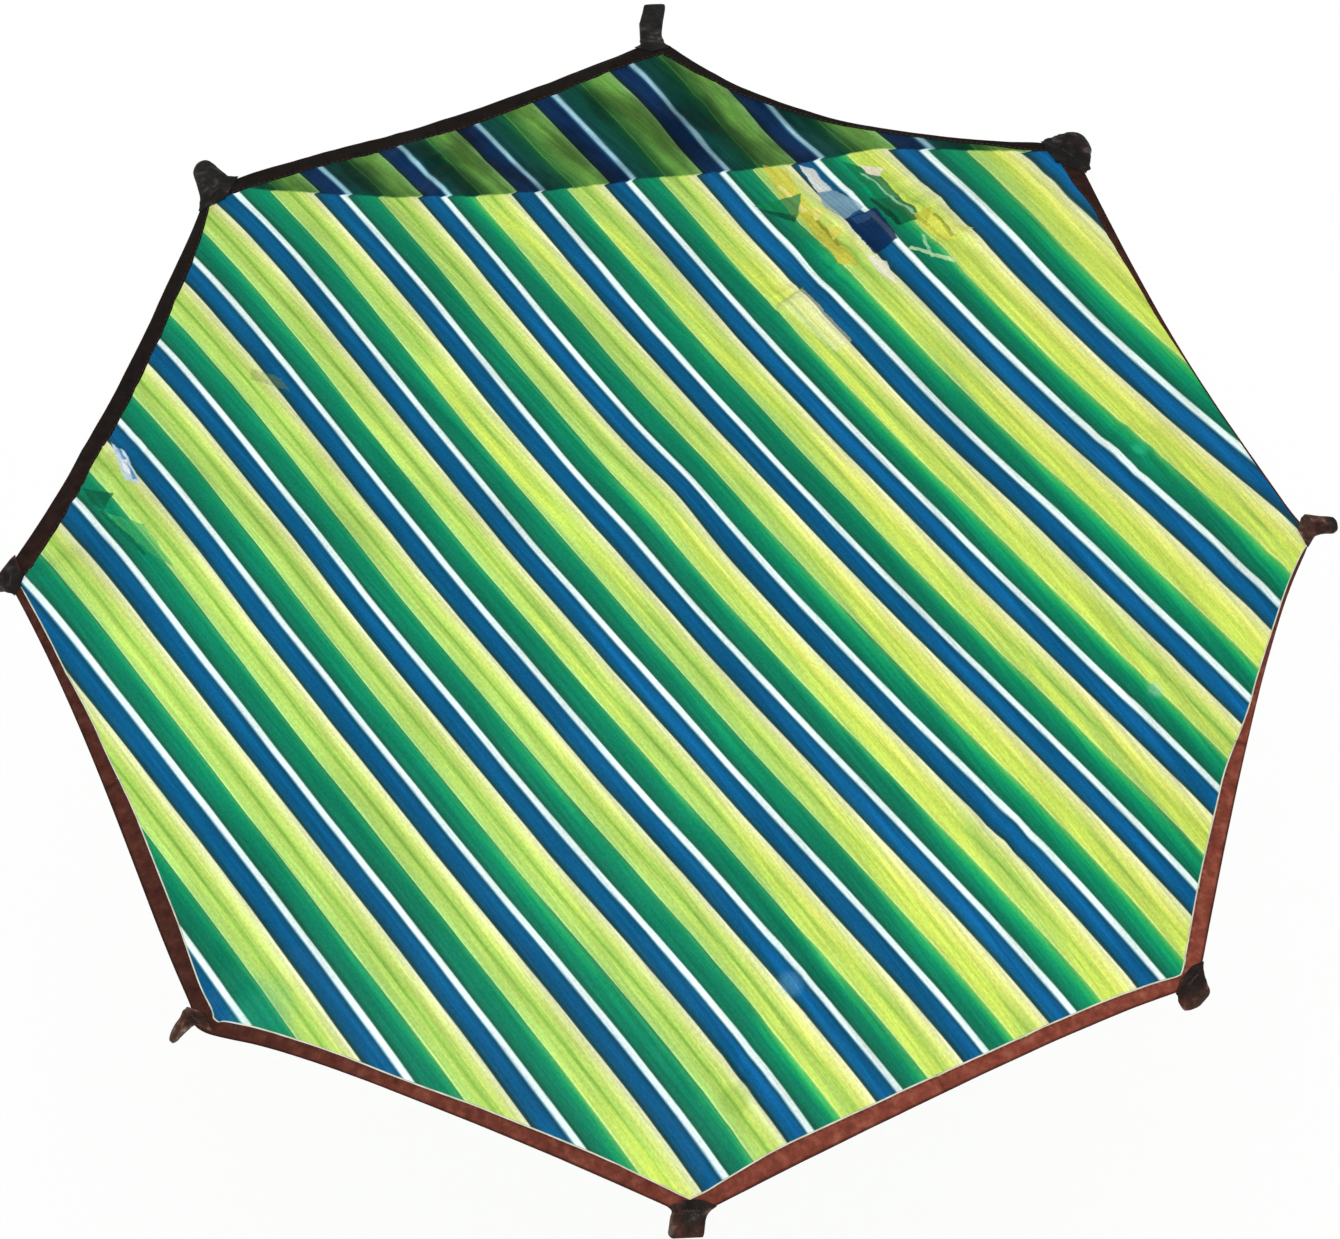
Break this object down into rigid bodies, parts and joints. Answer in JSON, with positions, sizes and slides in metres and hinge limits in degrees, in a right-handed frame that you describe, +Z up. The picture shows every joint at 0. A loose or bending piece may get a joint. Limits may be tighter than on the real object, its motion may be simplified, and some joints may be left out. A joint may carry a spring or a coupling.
{
  "type": "beach umbrella",
  "caption": "Beach umbrella with a striped octagonal cloth on folding steel ribs, a push-button tilt, a telescoping pole and a sand spike.",
  "frame": {"origin": "on the pole's axis at the ground line, in the plane of the step plate's underside", "axes": "+Z up the pole to the crown, +Y towards rib 1, +X towards rib 3 and the clamp knob; the canopy tilts towards -Y"},
  "size_m": [2.106, 2.106, 2.0834],
  "materials": {
    "cloth": "woven polyester with printed stripes in green, lime, blue and white",
    "binding": "dark brown and black folded woven tape",
    "webbing": "black webbing",
    "rib_steel": "zinc plated spring steel, satin",
    "wire": "drawn steel wire",
    "pole_paint": "white powder coat",
    "fitting": "black moulded nylon",
    "button": "plated steel",
    "pin": "plated steel rivet"
  },
  "bodies": {
    "root": {"ground_spike": "fitting", "lower_pole": "pole_paint", "clamp_collar": "fitting"},
    "clamp_knob": {"clamp_knob": "fitting"},
    "extension": {"extension_tube": "pole_paint", "tilt_yoke": "fitting", "tilt_pin": "pin"},
    "tilt_button": {"tilt_button": "button"},
    "mast": {"tilt_tongue": "fitting", "mast": "pole_paint", "notch_hub": "fitting", "notch_wire": "wire", "crown_cap": "fitting", "canopy": "cloth", "edge_binding": "binding"},
    "runner": {"runner": "fitting"},
    "runner_button": {"runner_button": "button"},
    "rib_1": {"rib_1": "rib_steel", "rib_bracket_1": "rib_steel", "rib_tip_1": "fitting", "tip_pocket_1": "webbing"},
    "stretcher_1": {"stretcher_1": "rib_steel"},
    "rib_2": {"rib_2": "rib_steel", "rib_bracket_2": "rib_steel", "rib_tip_2": "fitting", "tip_pocket_2": "webbing"},
    "stretcher_2": {"stretcher_2": "rib_steel"},
    "rib_3": {"rib_3": "rib_steel", "rib_bracket_3": "rib_steel", "rib_tip_3": "fitting", "tip_pocket_3": "webbing"},
    "stretcher_3": {"stretcher_3": "rib_steel"},
    "rib_4": {"rib_4": "rib_steel", "rib_bracket_4": "rib_steel", "rib_tip_4": "fitting", "tip_pocket_4": "webbing"},
    "stretcher_4": {"stretcher_4": "rib_steel"},
    "rib_5": {"rib_5": "rib_steel", "rib_bracket_5": "rib_steel", "rib_tip_5": "fitting", "tip_pocket_5": "webbing"},
    "stretcher_5": {"stretcher_5": "rib_steel"},
    "rib_6": {"rib_6": "rib_steel", "rib_bracket_6": "rib_steel", "rib_tip_6": "fitting", "tip_pocket_6": "webbing"},
    "stretcher_6": {"stretcher_6": "rib_steel"},
    "rib_7": {"rib_7": "rib_steel", "rib_bracket_7": "rib_steel", "rib_tip_7": "fitting", "tip_pocket_7": "webbing"},
    "stretcher_7": {"stretcher_7": "rib_steel"},
    "rib_8": {"rib_8": "rib_steel", "rib_bracket_8": "rib_steel", "rib_tip_8": "fitting", "tip_pocket_8": "webbing"},
    "stretcher_8": {"stretcher_8": "rib_steel"}
  },
  "joints": [
    {"name": "clamp_turn", "type": "hinge", "parent": "root", "child": "clamp_knob", "pos_m": [0.0274, 0, 0.436], "axis": [1, 0, 0], "range_deg": [-180, 0]},
    {"name": "pole_slide", "type": "slide", "parent": "root", "child": "extension", "axis": [0, 0, 1], "range_m": [-0.16, 0]},
    {"name": "tilt", "type": "hinge", "parent": "extension", "child": "mast", "pos_m": [0, 0, 0.7], "axis": [1, 0, 0], "range_deg": [0, 35]},
    {"name": "tilt_button_press", "type": "slide", "parent": "extension", "child": "tilt_button", "axis": [-1, 0, 0], "range_m": [0, 0.003], "stiffness_N_per_m": 900, "springref_m": -0.002},
    {"name": "runner_slide", "type": "slide", "parent": "mast", "child": "runner", "axis": [0, 0, 1], "range_m": [-0.4678, 0], "deforming": ["canopy", "edge_binding"]},
    {"name": "runner_button_press", "type": "slide", "parent": "runner", "child": "runner_button", "axis": [0, 1, 0], "range_m": [0, 0.003], "stiffness_N_per_m": 900, "springref_m": -0.002},
    {"name": "rib_1_fold", "type": "hinge", "parent": "mast", "child": "rib_1", "pos_m": [0, 0.019, 1.8], "axis": [-1, 0, 0], "range_deg": [0, 79.05]},
    {"name": "stretcher_1_fold", "type": "hinge", "parent": "rib_1", "child": "stretcher_1", "pos_m": [0, 0.35543, 1.75392], "axis": [-1, 0, 0], "range_deg": [-131.44, 0]},
    {"name": "rib_2_fold", "type": "hinge", "parent": "mast", "child": "rib_2", "pos_m": [0.01344, 0.01344, 1.8], "axis": [-0.7071, 0.7071, 0], "range_deg": [0, 79.05]},
    {"name": "stretcher_2_fold", "type": "hinge", "parent": "rib_2", "child": "stretcher_2", "pos_m": [0.25132, 0.25132, 1.75392], "axis": [-0.7071, 0.7071, 0], "range_deg": [-131.44, 0]},
    {"name": "rib_3_fold", "type": "hinge", "parent": "mast", "child": "rib_3", "pos_m": [0.019, 0, 1.8], "axis": [0, 1, 0], "range_deg": [0, 79.05]},
    {"name": "stretcher_3_fold", "type": "hinge", "parent": "rib_3", "child": "stretcher_3", "pos_m": [0.35543, 0, 1.75392], "axis": [0, 1, 0], "range_deg": [-131.44, 0]},
    {"name": "rib_4_fold", "type": "hinge", "parent": "mast", "child": "rib_4", "pos_m": [0.01344, -0.01344, 1.8], "axis": [0.7071, 0.7071, 0], "range_deg": [0, 79.05]},
    {"name": "stretcher_4_fold", "type": "hinge", "parent": "rib_4", "child": "stretcher_4", "pos_m": [0.25132, -0.25132, 1.75392], "axis": [0.7071, 0.7071, 0], "range_deg": [-131.44, 0]},
    {"name": "rib_5_fold", "type": "hinge", "parent": "mast", "child": "rib_5", "pos_m": [0, -0.019, 1.8], "axis": [1, 0, 0], "range_deg": [0, 79.05]},
    {"name": "stretcher_5_fold", "type": "hinge", "parent": "rib_5", "child": "stretcher_5", "pos_m": [0, -0.35543, 1.75392], "axis": [1, 0, 0], "range_deg": [-131.44, 0]},
    {"name": "rib_6_fold", "type": "hinge", "parent": "mast", "child": "rib_6", "pos_m": [-0.01344, -0.01344, 1.8], "axis": [0.7071, -0.7071, 0], "range_deg": [0, 79.05]},
    {"name": "stretcher_6_fold", "type": "hinge", "parent": "rib_6", "child": "stretcher_6", "pos_m": [-0.25132, -0.25132, 1.75392], "axis": [0.7071, -0.7071, 0], "range_deg": [-131.44, 0]},
    {"name": "rib_7_fold", "type": "hinge", "parent": "mast", "child": "rib_7", "pos_m": [-0.019, 0, 1.8], "axis": [0, -1, 0], "range_deg": [0, 79.05]},
    {"name": "stretcher_7_fold", "type": "hinge", "parent": "rib_7", "child": "stretcher_7", "pos_m": [-0.35543, 0, 1.75392], "axis": [0, -1, 0], "range_deg": [-131.44, 0]},
    {"name": "rib_8_fold", "type": "hinge", "parent": "mast", "child": "rib_8", "pos_m": [-0.01344, 0.01344, 1.8], "axis": [-0.7071, -0.7071, 0], "range_deg": [0, 79.05]},
    {"name": "stretcher_8_fold", "type": "hinge", "parent": "rib_8", "child": "stretcher_8", "pos_m": [-0.25132, 0.25132, 1.75392], "axis": [-0.7071, -0.7071, 0], "range_deg": [-131.44, 0]}
  ],
  "couplings": [
    {"joint": "rib_1_fold", "follows": "runner_slide", "rad_per_m": -2.9474},
    {"joint": "stretcher_1_fold", "follows": "runner_slide", "rad_per_m": 4.9019},
    {"joint": "rib_2_fold", "follows": "runner_slide", "rad_per_m": -2.9474},
    {"joint": "stretcher_2_fold", "follows": "runner_slide", "rad_per_m": 4.9019},
    {"joint": "rib_3_fold", "follows": "runner_slide", "rad_per_m": -2.9474},
    {"joint": "stretcher_3_fold", "follows": "runner_slide", "rad_per_m": 4.9019},
    {"joint": "rib_4_fold", "follows": "runner_slide", "rad_per_m": -2.9474},
    {"joint": "stretcher_4_fold", "follows": "runner_slide", "rad_per_m": 4.9019},
    {"joint": "rib_5_fold", "follows": "runner_slide", "rad_per_m": -2.9474},
    {"joint": "stretcher_5_fold", "follows": "runner_slide", "rad_per_m": 4.9019},
    {"joint": "rib_6_fold", "follows": "runner_slide", "rad_per_m": -2.9474},
    {"joint": "stretcher_6_fold", "follows": "runner_slide", "rad_per_m": 4.9019},
    {"joint": "rib_7_fold", "follows": "runner_slide", "rad_per_m": -2.9474},
    {"joint": "stretcher_7_fold", "follows": "runner_slide", "rad_per_m": 4.9019},
    {"joint": "rib_8_fold", "follows": "runner_slide", "rad_per_m": -2.9474},
    {"joint": "stretcher_8_fold", "follows": "runner_slide", "rad_per_m": 4.9019}
  ]
}
